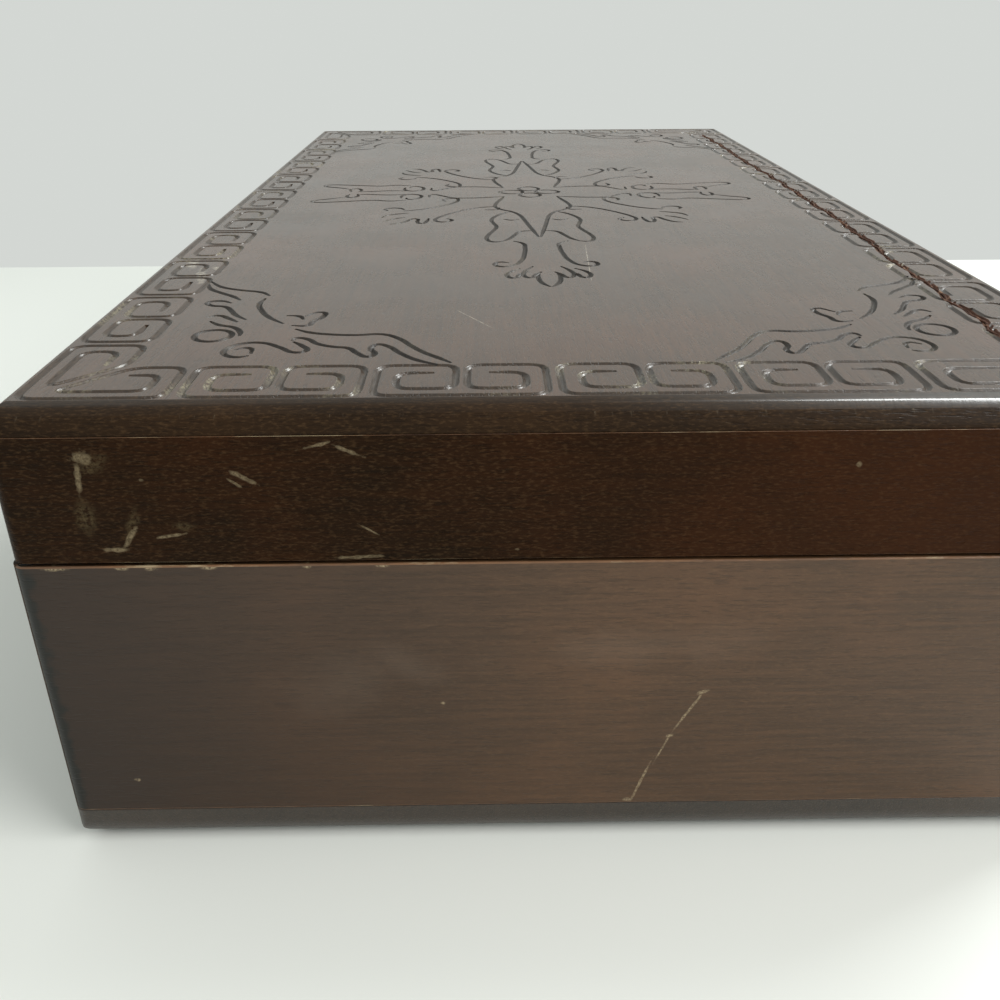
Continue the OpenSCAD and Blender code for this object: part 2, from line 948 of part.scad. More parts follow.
module latch_hook() {
  color(BRASS)
    facing_front(hook_back_y, pivot_z)
      rotate([0, 0, hook_swing])
        hook_shape();
}

bottom_board();
base_front_wall();
base_back_wall();
base_left_wall();
base_right_wall();
floor_pad();
base_front_lining();
base_back_lining();
base_left_lining();
base_right_lining();
base_leaf_left();
base_leaf_right();
hinge_pin_left();
hinge_pin_right();
base_hinge_screws();
catch_plate();
catch_stud();
catch_plate_pins();
top_board();
lid_front_rail();
lid_back_rail();
lid_left_rail();
lid_right_rail();
lid_pad();
lid_front_lining();
lid_back_lining();
lid_left_lining();
lid_right_lining();
lid_leaf_left();
lid_leaf_right();
lid_hinge_screws();
latch_plate();
latch_rivet();
latch_plate_pins();
latch_hook();
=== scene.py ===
import math

import bmesh
import bpy
from mathutils import Euler, Matrix, Vector


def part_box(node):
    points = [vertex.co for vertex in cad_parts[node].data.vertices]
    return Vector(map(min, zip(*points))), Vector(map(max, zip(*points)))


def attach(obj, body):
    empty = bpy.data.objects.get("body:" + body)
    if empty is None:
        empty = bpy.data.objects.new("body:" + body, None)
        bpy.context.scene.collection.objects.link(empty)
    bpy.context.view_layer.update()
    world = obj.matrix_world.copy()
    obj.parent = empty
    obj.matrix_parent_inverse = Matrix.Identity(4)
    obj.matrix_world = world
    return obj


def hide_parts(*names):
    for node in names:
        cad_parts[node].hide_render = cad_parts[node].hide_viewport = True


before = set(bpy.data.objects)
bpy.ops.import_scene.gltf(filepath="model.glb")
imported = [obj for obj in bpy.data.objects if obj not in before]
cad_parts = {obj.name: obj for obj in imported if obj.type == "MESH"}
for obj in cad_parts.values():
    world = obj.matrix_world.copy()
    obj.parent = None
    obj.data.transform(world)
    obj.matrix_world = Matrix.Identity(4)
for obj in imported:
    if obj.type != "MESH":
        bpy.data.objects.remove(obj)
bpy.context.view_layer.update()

bpy.ops.object.select_all(action="DESELECT")
scene = bpy.context.scene
MM = 0.001


# Camera, at the photograph's place: before the right end, looking along the box and down

LENS = 35.48
EYE = (0.3375, -0.0175, 0.1508)
LOOKS_DOWN, LOOKS_ASIDE, LEANS = 0.4712, 0.0129, 0.0047


def camera_at_photo():
    data = bpy.data.cameras.new("photo_camera")
    data.lens = LENS
    data.sensor_width = 36.0
    data.clip_start = 0.01
    eye = bpy.data.objects.new("photo_camera", data)
    scene.collection.objects.link(eye)
    place = Matrix.Translation(EYE)
    turn = Matrix.Rotation(math.radians(90) - LOOKS_ASIDE, 4, "Z")
    tilt = Matrix.Rotation(math.radians(90) - LOOKS_DOWN, 4, "X")
    roll = Matrix.Rotation(-LEANS, 4, "Z")
    eye.matrix_world = place @ turn @ tilt @ roll
    scene.camera = eye


# Helpers for finishes

def tint(red, green, blue):
    """A colour given as it looks, 0 to 255, as the shader wants it."""
    return tuple(((v / 255 + 0.055) / 1.055) ** 2.4 if v > 10 else v / 3295
                 for v in (red, green, blue)) + (1.0,)


def add(tree, kind, inputs=None, **settings):
    made = tree.nodes.new(kind)
    for key, value in settings.items():
        setattr(made, key, value)
    for key, value in (inputs or {}).items():
        if isinstance(value, bpy.types.NodeSocket):
            tree.links.new(value, made.inputs[key])
        else:
            made.inputs[key].default_value = value
    return made


def new_finish(name):
    finish = bpy.data.materials.new(name)
    finish.use_nodes = True
    tree = finish.node_tree
    return finish, tree, tree.nodes["Principled BSDF"]


def object_place(tree):
    return add(tree, "ShaderNodeTexCoord").outputs["Object"]


def run_of(tree, place, axis):
    """How far along one axis of the box a point lies, in metres."""
    return add(tree, "ShaderNodeSeparateXYZ", {"Vector": place}).outputs[axis]


def noise(tree, vector, scale, detail=4.0, roughness=0.55):
    made = add(tree, "ShaderNodeTexNoise", {
        "Vector": vector, "Scale": scale, "Detail": detail, "Roughness": roughness})
    return made.outputs["Fac"]


def levels(tree, value, low, high, to_low=0.0, to_high=1.0):
    made = add(tree, "ShaderNodeMapRange", {
        "Value": value, "From Min": low, "From Max": high, "To Min": to_low, "To Max": to_high})
    return made.outputs["Result"]


def sums(tree, operation, first, second):
    """One sum of two values or sockets, by the Math node's operation."""
    made = add(tree, "ShaderNodeMath", operation=operation)
    for socket, value in zip(made.inputs, (first, second)):
        if isinstance(value, bpy.types.NodeSocket):
            tree.links.new(value, socket)
        else:
            socket.default_value = value
    return made.outputs[0]


def mixed(tree, amount, first, second):
    """The first colour where amount is 0, the second where it is 1."""
    made = add(tree, "ShaderNodeMix", data_type="RGBA")
    for socket, value in zip((made.inputs[0], made.inputs[6], made.inputs[7]),
                             (amount, first, second)):
        if isinstance(value, bpy.types.NodeSocket):
            tree.links.new(value, socket)
        else:
            socket.default_value = value
    return made.outputs[2]


def bumped(tree, height, depth, under=None, strength=1.0):
    inputs = {"Height": height, "Distance": depth, "Strength": strength}
    if under is not None:
        inputs["Normal"] = under
    return add(tree, "ShaderNodeBump", inputs).outputs["Normal"]


def stretched(tree, place, scale):
    return add(tree, "ShaderNodeMapping", {"Vector": place, "Scale": scale}).outputs["Vector"]


def patch(tree, place, ragged, centre, size, turn=0.0, about=0, fade=0.5):
    """1 inside a ragged oval of half sizes size about centre, in mm, 0 outside."""
    angles = [0.0, 0.0, 0.0]
    angles[about] = math.radians(turn)
    local = add(tree, "ShaderNodeMapping", {
        "Vector": place,
        "Location": Vector(centre) * MM,
        "Rotation": Euler(angles),
        "Scale": Vector(size) * MM}, vector_type="TEXTURE")
    reach = add(tree, "ShaderNodeVectorMath", {0: local.outputs["Vector"]}, operation="LENGTH")
    rough = sums(tree, "ADD", reach.outputs["Value"], ragged)
    return levels(tree, rough, 1.15 - fade, 1.15, 1.0, 0.0)


def all_of(tree, masks):
    total = masks[0]
    for mask in masks[1:]:
        total = sums(tree, "MAXIMUM", total, mask)
    return total


# Wood finishes

# Scales of the streaks and of the pores, for grain along X or Y
GRAIN_ALONG = {
    "X": ((45, 1100, 1100), (300, 2600, 2600)),
    "Y": ((1100, 45, 1100), (2600, 300, 2600)),
}
FLECKS_ALONG = {"X": (900, 2600, 2600), "Y": (2600, 900, 2600)}
FLECK = tint(122, 94, 64)


def stained_wood(name, deep, tone, warm, along, gloss, coat=0.25, pore_depth=0.00005):
    """Dark stained and lacquered hardwood: streaks and pores run along X or Y."""
    finish, tree, shader = new_finish(name)
    place = object_place(tree)
    streak_scale, pore_scale = GRAIN_ALONG[along]
    streaks = noise(tree, stretched(tree, place, streak_scale), 1.0, 6.0, 0.6)
    pores = noise(tree, stretched(tree, place, pore_scale), 1.0, 2.0, 0.5)
    clouds = noise(tree, place, 22.0, 3.0, 0.5)
    figure = sums(tree, "ADD", sums(tree, "MULTIPLY", streaks, 0.7), sums(tree, "MULTIPLY", clouds, 0.3))
    colour = mixed(tree, levels(tree, figure, 0.32, 0.7), deep, tone)
    colour = mixed(tree, levels(tree, clouds, 0.46, 0.74, 0.0, 0.5), colour, warm)
    open_pores = levels(tree, pores, 0.33, 0.45, 1.0, 0.0)
    colour = mixed(tree, sums(tree, "MULTIPLY", open_pores, 0.6), colour, deep)
    flecks = noise(tree, stretched(tree, place, FLECKS_ALONG[along]), 1.0, 3.0, 0.6)
    colour = mixed(tree, levels(tree, flecks, 0.5, 0.7, 0.0, 0.14), colour, FLECK)
    smear = noise(tree, place, 60.0, 4.0, 0.6)
    rough = levels(tree, smear, 0.3, 0.75, gloss - 0.03, gloss + 0.04)
    ripple = noise(tree, stretched(tree, place, tuple(v / 6 for v in streak_scale)), 1.0, 3.0, 0.5)
    relief = bumped(tree, ripple, 0.00012)
    relief = bumped(tree, sums(tree, "SUBTRACT", streaks, open_pores), pore_depth, relief)
    tree.links.new(colour, shader.inputs["Base Color"])
    tree.links.new(rough, shader.inputs["Roughness"])
    tree.links.new(relief, shader.inputs["Normal"])
    shader.inputs["Coat Weight"].default_value = coat
    shader.inputs["Coat Roughness"].default_value = 0.22
    return finish, tree, shader, place, colour


def recolour(tree, shader, colour):
    tree.links.new(colour, shader.inputs["Base Color"])


def with_shine(made, shine):
    """Sets how much light the wood itself throws back, under its coat."""
    made[2].inputs["Specular IOR Level"].default_value = shine
    return made


def with_marks(made, marks, ragged_scale, mark_colour, least=0.1):
    """Lays scuffs over a finish: marks are (centre, half sizes, turn) in mm."""
    finish, tree, shader, place, colour = made
    ragged = levels(tree, noise(tree, place, ragged_scale, 5.0, 0.65), 0.3, 0.7, -0.5, 0.55)
    worn = all_of(tree, [patch(tree, place, ragged, *mark) for mark in marks])
    broken = levels(tree, noise(tree, place, ragged_scale * 2.0, 4.0, 0.65), 0.4, 0.64, least, 0.9)
    colour = mixed(tree, sums(tree, "MULTIPLY", worn, broken), colour, mark_colour)
    recolour(tree, shader, colour)
    return finish, tree, shader, place, colour


# Pale raw wood, used for scratches and for the arrises' painted highlight.
PALE_WOOD_AND_HIGHLIGHT = tint(158, 140, 110)
RAW_BROWN = tint(120, 84, 54)
RAIL_SCUFF = tint(122, 108, 84)
SMEARED = tint(74, 62, 42)
LID_DEEP, LID_TONE, LID_WARM = tint(22, 12, 3), tint(40, 21, 5), tint(60, 29, 8)
BASE_DEEP, BASE_TONE, BASE_WARM = tint(62, 45, 30), tint(88, 63, 43), tint(97, 66, 43)
# The long walls' wood is a darker copy of the end walls' wood: painted shade for a side turned from the
# light.
SIDE_DEEP, SIDE_TONE, SIDE_WARM = tint(34, 24, 15), tint(52, 37, 23), tint(60, 40, 24)
FOOT_DEEP, FOOT_TONE, FOOT_WARM = tint(36, 30, 24), tint(58, 49, 40), tint(60, 46, 34)
TOP_DEEP, TOP_TONE, TOP_WARM = tint(44, 28, 14), tint(72, 46, 24), tint(80, 46, 24)
ROUND_DEEP, ROUND_TONE, ROUND_WARM = tint(26, 17, 9), tint(46, 32, 19), tint(52, 34, 18)


def worn_and_highlit_arris(name, deep, tone, along, amount):
    """An edge worn through the stain in places, by amount from 0 to 1; its pale streaks are partly that
    wear and partly a painted highlight.
    """
    finish, tree, shader, place, colour = stained_wood(name, deep, tone, tone, along, 0.42, 0.1)
    run = (45, 300, 300) if along == "X" else (300, 45, 300)
    rubs_and_highlights = noise(tree, stretched(tree, place, run), 1.0, 6.0, 0.7)
    # The pale streaks are partly worn-through wood and partly a painted highlight.
    light = levels(tree, rubs_and_highlights, 0.66 - 0.2 * amount, 0.74 - 0.2 * amount)
    brown = levels(tree, rubs_and_highlights, 0.5 - 0.2 * amount, 0.6 - 0.2 * amount, 0.0, 0.7)
    colour = mixed(tree, brown, colour, RAW_BROWN)
    recolour(tree, shader, mixed(tree, light, colour, PALE_WOOD_AND_HIGHLIGHT))
    return finish


END_RAIL_MARKS = [
    ((191, -84.9, 80.8), (2, 0.5, 3.4), -6),
    ((191, -83.7, 84.4), (2, 1.6, 1.2), 0),
    ((191, -78.2, 69.8), (2, 0.5, 2.6), -34),
    ((191, -81.2, 67.2), (2, 2.3, 0.45), 0),
    ((191, -58.0, 80.7), (2, 2.6, 0.45), -29),
    ((191, -59.4, 79.6), (2, 1.4, 0.3), -35),
    ((191, -45.0, 86.4), (2, 2.9, 0.3), 14),
    ((191, -40.6, 85.4), (2, 3.2, 0.35), -24),
    ((191, -71.6, 69.8), (2, 2.8, 0.3), 9),
    ((191, -74.7, 80.4), (2, 0.5, 0.35), 0),
    ((191, -37.8, 70.6), (2, 1.8, 0.25), -32),
    ((191, -12.7, 66.5), (2, 0.5, 0.3), 0),
    ((191, 43.8, 82.0), (2, 0.45, 0.45), 0),
    ((191, -40.0, 65.3), (2, 4.2, 0.35), 2),
]
END_RAIL_SMEARS = [
    ((191, -84.9, 73.6), (4, 2.0, 3.4), -8),
    ((191, -82.2, 83.2), (4, 2.6, 1.7), 20),
    ((191, -77.6, 72.0), (4, 1.1, 3.0), -24),
    ((191, -69.0, 71.6), (4, 2.0, 0.9), 0),
]
END_WALL_MARKS = [
    ((191, 19.6, 31.2), (2, 0.28, 5.8), -29),
    ((191, 15.4, 22.6), (2, 0.22, 4.4), -22),
    ((191, 11.4, 13.4), (2, 0.3, 6.6), -19),
    ((191, 9.2, 9.4), (2, 0.9, 0.5), 0),
    ((191, 21.9, 35.6), (2, 1.3, 0.4), 20),
    ((191, 16.4, 25.4), (2, 0.9, 0.4), 10),
    ((191, -26.4, 33.9), (2, 0.5, 0.4), 0),
    ((191, -86.0, 16.2), (2, 0.6, 0.4), 0),
    ((191, -92.2, 63.7), (2, 2.4, 0.4), 0),
    ((191, -80.6, 63.7), (2, 1.4, 0.45), 0),
    ((191, -75.8, 63.7), (2, 1.3, 0.55), 0),
    ((191, -65.6, 63.7), (2, 1.5, 0.5), 0),
    ((191, -48.9, 63.7), (2, 0.8, 0.4), 0),
    ((191, -35.8, 63.7), (2, 1.2, 0.35), 0),
]


def end_rail_finish():
    """Red-brown and dull, lighter and redder to the hinge side as painted light, with scuffs near the latch
    side.
    """
    made = stained_wood("lid_wood_end", LID_DEEP, LID_TONE, LID_WARM, "Y", 0.42, 0.0, 0.00007)
    finish, tree, shader, place, colour = with_shine(made, 0.06)
    along = run_of(tree, place, "Y")
    # Painted light: the rail turns lighter and redder towards the hinge side, where the light falls.
    redder = levels(tree, along, -0.02, 0.1, 0.0, 0.65)
    colour = mixed(tree, redder, colour, LID_WARM)
    made = with_marks((finish, tree, shader, place, colour), END_RAIL_SMEARS, 700.0, SMEARED, 0.0)
    return with_marks(made, END_RAIL_MARKS, 900.0, RAIL_SCUFF, 0.3)[0]


def end_wall_finish():
    """Darker to the latch side and round its upright corner, both painted shade, with smudges and a long
    scratch.
    """
    made = stained_wood("base_wood_end", BASE_DEEP, BASE_TONE, BASE_WARM, "Y", 0.4, 0.05, 0.00003)
    finish, tree, shader, place, colour = with_shine(made, 0.32)
    along = run_of(tree, place, "Y")
    # Painted shade: the end wall is darkened towards the latch side, away from the light.
    colour = mixed(tree, levels(tree, along, -0.1, 0.0, 0.95, 0.0), colour, tint(34, 21, 11))
    # Painted shade: a near-black band with a ragged edge along the rounded upright corner at the latch
    # side.
    fringe = levels(tree, noise(tree, place, 320.0, 5.0, 0.65), 0.3, 0.7, -0.0011, 0.0011)
    corner = levels(tree, sums(tree, "ADD", along, fringe), -0.0974, -0.0962, 0.95, 0.0)
    colour = mixed(tree, corner, colour, tint(14, 14, 8))
    ragged = levels(tree, noise(tree, place, 70.0, 5.0, 0.6), 0.3, 0.7, -0.5, 0.5)
    smudges = all_of(tree, [
        patch(tree, place, ragged, (191, -46, 38), (4, 13, 8), 20, 0, 1.1),
        patch(tree, place, ragged, (191, -32, 42), (4, 10, 4), -35, 0, 1.0),
        patch(tree, place, ragged, (191, 10, 46), (4, 26, 5), 4, 0, 1.1),
    ])
    colour = mixed(tree, sums(tree, "MULTIPLY", smudges, 0.12), colour, tint(124, 108, 94))
    return with_marks((finish, tree, shader, place, colour), END_WALL_MARKS, 1100.0, PALE_WOOD_AND_HIGHLIGHT)[0]


def side_rail_finish():
    made = stained_wood("lid_wood_long", LID_DEEP, LID_TONE, LID_WARM, "X", 0.5, 0.05)
    return with_shine(made, 0.25)[0]


def side_wall_finish():
    # Painted shade: a darker tone than the end walls, used on both long walls.
    made = stained_wood("base_wood_long", SIDE_DEEP, SIDE_TONE, SIDE_WARM, "X", 0.66, 0.0)
    return with_shine(made, 0.2)[0]


def foot_finish():
    return stained_wood("bottom_wood", FOOT_DEEP, FOOT_TONE, FOOT_WARM, "X", 0.42, 0.15)[0]


def carved_board_finish():
    """The glossiest of the wood, with a few pale rubs near the latch side and two hair scratches."""
    made = stained_wood("carved_wood", TOP_DEEP, TOP_TONE, TOP_WARM, "X", 0.27, 0.3, 0.00003)
    finish, tree, shader, place, colour = made
    marks = [
        ((90, -90.5, 91.5), (6, 1.6, 3), 8, 2),
        ((103, -85.5, 91.5), (8, 1.2, 3), 12, 2),
        ((96, -83.2, 91.5), (3, 1.0, 3), 30, 2),
        ((93, 7.9, 92), (21, 0.14, 2), -3, 2),
        ((140, -20, 92), (9, 0.12, 2), 30, 2),
    ]
    return with_marks((finish, tree, shader, place, colour), marks, 500.0, tint(176, 166, 148))[0]


def rounded_edge_finish():
    """The board's rounded ends: nearly black and dull, with pale fine strokes at the top that are partly
    worn wood and partly a painted highlight.
    """
    made = stained_wood("rounded_edge", ROUND_DEEP, ROUND_TONE, ROUND_WARM, "Y", 0.4, 0.0)
    finish, tree, shader, place, colour = with_shine(made, 0.08)
    near_top = levels(tree, run_of(tree, place, "Z"), 0.09, 0.091)
    strokes = noise(tree, stretched(tree, place, (160, 1300, 160)), 1.0, 6.0, 0.7)
    # Pale strokes near the top of the rounding: part worn wood, part painted highlight.
    rubs_and_highlights = levels(tree, strokes, 0.6, 0.72, 0.0, 0.35)
    colour = mixed(tree, sums(tree, "MULTIPLY", near_top, rubs_and_highlights), colour, tint(140, 128, 108))
    recolour(tree, shader, colour)
    return finish


def shiny_rim_finish():
    """The start of the rounding, polished by hands, with fine slanting scratches."""
    made = stained_wood("shiny_rim", ROUND_DEEP, ROUND_TONE, ROUND_WARM, "Y", 0.4, 0.0)
    finish, tree, shader, place, colour = with_shine(made, 0.12)
    slanting = add(tree, "ShaderNodeMapping", {
        "Vector": place, "Rotation": (0.0, 0.0, math.radians(35)), "Scale": (120, 2600, 120)})
    scratches = noise(tree, slanting.outputs["Vector"], 1.0, 4.0, 0.6)
    along = run_of(tree, place, "Y")
    handled = levels(tree, along, 0.0, 0.06)
    unscratched = levels(tree, scratches, 0.3, 0.5, 0.5, 1.0)
    tree.links.new(sums(tree, "MULTIPLY", handled, unscratched), shader.inputs["Coat Weight"])
    shader.inputs["Coat Roughness"].default_value = 0.18
    scratched = bumped(tree, scratches, 0.000012)
    tree.links.new(scratched, shader.inputs["Normal"])
    tree.links.new(scratched, shader.inputs["Coat Normal"])
    return finish


def groove_finish(name, deep, tone, gloss, coat, dust):
    """Stain gathered in the carved lines, with pale dust here and there."""
    made = stained_wood(name, deep, tone, tone, "X", gloss, coat)
    finish, tree, shader, place, colour = made
    dusty = levels(tree, noise(tree, place, 55.0, 3.0, 0.6), 0.52, 0.7, 0.0, dust)
    grains = levels(tree, noise(tree, place, 1400.0, 3.0, 0.6), 0.4, 0.62)
    recolour(tree, shader, mixed(tree, sums(tree, "MULTIPLY", dusty, grains), colour, tint(150, 142, 118)))
    return finish


def split_finish():
    """Raw reddish fibres of the split along the hinge side."""
    finish, tree, shader = new_finish("split_wood")
    place = object_place(tree)
    fibres = noise(tree, stretched(tree, place, (240, 1800, 1800)), 1.0, 6.0, 0.7)
    colour = mixed(tree, levels(tree, fibres, 0.35, 0.62), tint(46, 28, 20), tint(96, 66, 52))
    pale = levels(tree, noise(tree, place, 420.0, 4.0, 0.6), 0.58, 0.68, 0.0, 0.7)
    recolour(tree, shader, mixed(tree, pale, colour, tint(168, 132, 108)))
    tree.links.new(bumped(tree, fibres, 0.0003), shader.inputs["Normal"])
    shader.inputs["Roughness"].default_value = 0.8
    shader.inputs["Specular IOR Level"].default_value = 0.15
    return finish


def aged_brass():
    finish, tree, shader = new_finish("aged_brass")
    place = object_place(tree)
    tarnish = noise(tree, place, 220.0, 5.0, 0.65)
    specks = noise(tree, place, 1500.0, 3.0, 0.6)
    colour = mixed(tree, levels(tree, tarnish, 0.35, 0.7), tint(196, 160, 92), tint(124, 92, 48))
    colour = mixed(tree, levels(tree, specks, 0.62, 0.72, 0.0, 0.6), colour, tint(74, 56, 34))
    recolour(tree, shader, colour)
    tree.links.new(levels(tree, tarnish, 0.3, 0.75, 0.24, 0.48), shader.inputs["Roughness"])
    hammered = bumped(tree, tarnish, 0.00006)
    tree.links.new(bumped(tree, specks, 0.00002, hammered), shader.inputs["Normal"])
    shader.inputs["Metallic"].default_value = 1.0
    return finish


def wine_velvet():
    """Short pile: dark where it lies flat, paler at a glance, with brushed marks."""
    finish, tree, shader = new_finish("wine_velvet")
    place = object_place(tree)
    brushed = noise(tree, stretched(tree, place, (60, 34, 80)), 1.0, 4.0, 0.6)
    pile = noise(tree, place, 3200.0, 2.0, 0.5)
    colour = mixed(tree, levels(tree, brushed, 0.34, 0.68), tint(86, 15, 26), tint(108, 22, 34))
    colour = mixed(tree, levels(tree, pile, 0.35, 0.65, 0.0, 0.45), colour, tint(48, 8, 15))
    recolour(tree, shader, colour)
    soft = bumped(tree, brushed, 0.0003)
    tree.links.new(bumped(tree, pile, 0.00012, soft), shader.inputs["Normal"])
    shader.inputs["Roughness"].default_value = 0.9
    shader.inputs["Specular IOR Level"].default_value = 0.2
    shader.inputs["Sheen Weight"].default_value = 0.8
    shader.inputs["Sheen Roughness"].default_value = 0.35
    shader.inputs["Sheen Tint"].default_value = tint(226, 120, 130)
    return finish


# Helpers for modelling

def make_active(piece):
    bpy.ops.object.select_all(action="DESELECT")
    piece.select_set(True)
    bpy.context.view_layer.objects.active = piece


def apply_all(piece):
    make_active(piece)
    for modifier in list(piece.modifiers):
        bpy.ops.object.modifier_apply(modifier=modifier.name)


def smooth_by_angle(piece, degrees):
    make_active(piece)
    bpy.ops.object.shade_smooth_by_angle(angle=math.radians(degrees))


def cleaned(piece, dissolve=False):
    """Merges doubles, closes flat faces up, and turns all faces outwards."""
    make_active(piece)
    bpy.ops.object.mode_set(mode="EDIT")
    bpy.ops.mesh.select_all(action="SELECT")
    bpy.ops.mesh.remove_doubles(threshold=0.000001)
    if dissolve:
        bpy.ops.mesh.dissolve_limited(angle_limit=math.radians(0.5))
    bpy.ops.mesh.normals_make_consistent(inside=False)
    bpy.ops.object.mode_set(mode="OBJECT")


def meshed(path, name, finish):
    """A curve made a clean mesh of one finish."""
    made = bpy.data.objects.new(name, path)
    scene.collection.objects.link(made)
    make_active(made)
    bpy.ops.object.convert(target="MESH")
    piece = bpy.context.view_layer.objects.active
    piece.data.materials.clear()
    piece.data.materials.append(finish)
    cleaned(piece)
    return piece


def worn_copy(node, name, round_by, finish, arris=None, degrees=40):
    """A copy of a CAD node with its sharp edges eased by round_by mm."""
    source = bpy.data.objects[node]
    piece = bpy.data.objects.new(name, source.data.copy())
    scene.collection.objects.link(piece)
    piece.data.materials.clear()
    piece.data.materials.append(finish)
    if arris is not None:
        piece.data.materials.append(arris)
    cleaned(piece, dissolve=True)
    bevel = piece.modifiers.new("eased_edges", "BEVEL")
    bevel.width = round_by * MM
    bevel.segments = 3
    bevel.limit_method = "ANGLE"
    bevel.angle_limit = math.radians(degrees)
    bevel.use_clamp_overlap = True
    if arris is not None:
        bevel.material = 1
    weight = piece.modifiers.new("flat_faces", "WEIGHTED_NORMAL")
    weight.keep_sharp = True
    smooth_by_angle(piece, 40)
    apply_all(piece)
    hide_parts(node)
    return piece


# The carved top board: its own sizes and those of the border, in mm

TOP = 92.0
BOARD_CORNER = 2.6
EDGE_LAND = 0.3
EDGE_ARC, EDGE_DROP, EDGE_STEPS = 7.0, 3.7, 9
SIDE_SHARE = 0.42
RIM_STARTS, RIM_ENDS = 3, 31
END_PAIRS, SIDE_PAIRS = 4, 9
END_OUTER, END_INNER = 7.6, 22.6
LATCH_OUTER, LATCH_INNER = 4.0, 17.6
HINGE_OUTER, HINGE_INNER = 4.2, 19.2
NEAR_PAIRS = (-70.2, 58.3)
FAR_PAIRS = (-68.0, 62.0)
LATCH_PAIRS = (-150.8, 154.3)
HINGE_PAIRS = (-163.9, 147.5)
HALF_LONG, HALF_WIDE = 191.0, 100.0
PAIR_GAP, SPIRAL_GAP = 1.2, 1.0
INNER_LOW, INNER_HIGH, INNER_SIDE, INNER_END = 3.1, 4.0, 3.6, 3.8
MITRE_TOP, MITRE_FOOT, MITRE_END = 1.7, 2.0, 5.6
BORDER_CORNER = 3.0
BORDER_GOUGE, FINE_GOUGE, SPLIT_GOUGE = (0.66, 0.6), (0.56, 0.62), (0.85, 0.8)


def rounded_line(points, radius, steps=4):
    """The line through points with each bend rounded."""
    line = [Vector(points[0])]
    for before, here, after in zip(points, points[1:], points[2:]):
        here = Vector(here)
        back = Vector(before) - here
        on = Vector(after) - here
        cut = min(radius, 0.45 * back.length, 0.45 * on.length)
        start = here + back.normalized() * cut
        end = here + on.normalized() * cut
        for i in range(steps + 1):
            t = i / steps
            line.append(start * (1 - t) ** 2 + here * 2 * t * (1 - t) + end * t ** 2)
    line.append(Vector(points[-1]))
    return line


def spiral(middle, far, outer, inner):
    """Half a pair: along the outer line, round the outside, then inwards."""
    way = 1 if far > middle else -1
    near_side = middle + way * SPIRAL_GAP
    turn = far - way * INNER_SIDE
    return [
        (middle, outer),
        (far, outer),
        (far, inner),
        (near_side, inner),
        (near_side, outer + INNER_LOW),
        (turn, outer + INNER_LOW),
        (turn, inner - INNER_HIGH),
        (near_side + way * INNER_END, inner - INNER_HIGH),
    ]


def spiral_pair(start, end, outer, inner):
    """Two spirals joined at their backs, one line from one inner end to the other."""
    middle = (start + end) / 2
    left = spiral(middle, start + PAIR_GAP, outer, inner)
    right = spiral(middle, end - PAIR_GAP, outer, inner)
    return left[:0:-1] + right[1:]


def corner_half(reach, outer, inner, side_outer, side_inner):
    """The mitred spiral of a corner, as (distance along, distance inwards) from its edges."""
    slope = (side_inner - side_outer) / (inner - outer)
    low = outer + INNER_LOW
    high = inner - INNER_HIGH
    turn = reach - INNER_SIDE
    return [
        (side_outer, outer),
        (reach, outer),
        (reach, inner),
        (side_inner + MITRE_TOP, inner),
        (side_outer + slope * INNER_LOW + MITRE_FOOT, low),
        (turn, low),
        (turn, high),
        (side_outer + slope * (high - outer) + MITRE_END, high),
    ]


def border_lines():
    """Every line of the square-spiral border, as points (x, y) in mm."""
    lines = []
    for x_side, (start, end) in ((1, NEAR_PAIRS), (-1, FAR_PAIRS)):
        step = (end - start) / END_PAIRS
        for i in range(END_PAIRS):
            pair = spiral_pair(start + i * step, start + (i + 1) * step, END_OUTER, END_INNER)
            lines.append([(x_side * (HALF_LONG - v), u) for u, v in pair])
    for y_side, outer, inner, (start, end) in (
            (-1, LATCH_OUTER, LATCH_INNER, LATCH_PAIRS), (1, HINGE_OUTER, HINGE_INNER, HINGE_PAIRS)):
        step = (end - start) / SIDE_PAIRS
        for i in range(SIDE_PAIRS):
            pair = spiral_pair(start + i * step, start + (i + 1) * step, outer, inner)
            lines.append([(u, y_side * (HALF_WIDE - v)) for u, v in pair])
        for x_side, ends in ((1, NEAR_PAIRS), (-1, FAR_PAIRS)):
            end_reach = HALF_WIDE - abs(ends[(y_side + 1) // 2]) - PAIR_GAP
            side_reach = HALF_LONG - abs((start, end)[(x_side + 1) // 2]) - PAIR_GAP
            on_end = corner_half(end_reach, END_OUTER, END_INNER, outer, inner)
            on_side = corner_half(side_reach, outer, inner, END_OUTER, END_INNER)
            line = [(x_side * (HALF_LONG - v), y_side * (HALF_WIDE - u)) for u, v in on_end[:0:-1]]
            line += [(x_side * (HALF_LONG - u), y_side * (HALF_WIDE - v)) for u, v in on_side]
            lines.append(line)
    return [rounded_line(line, BORDER_CORNER) for line in lines]


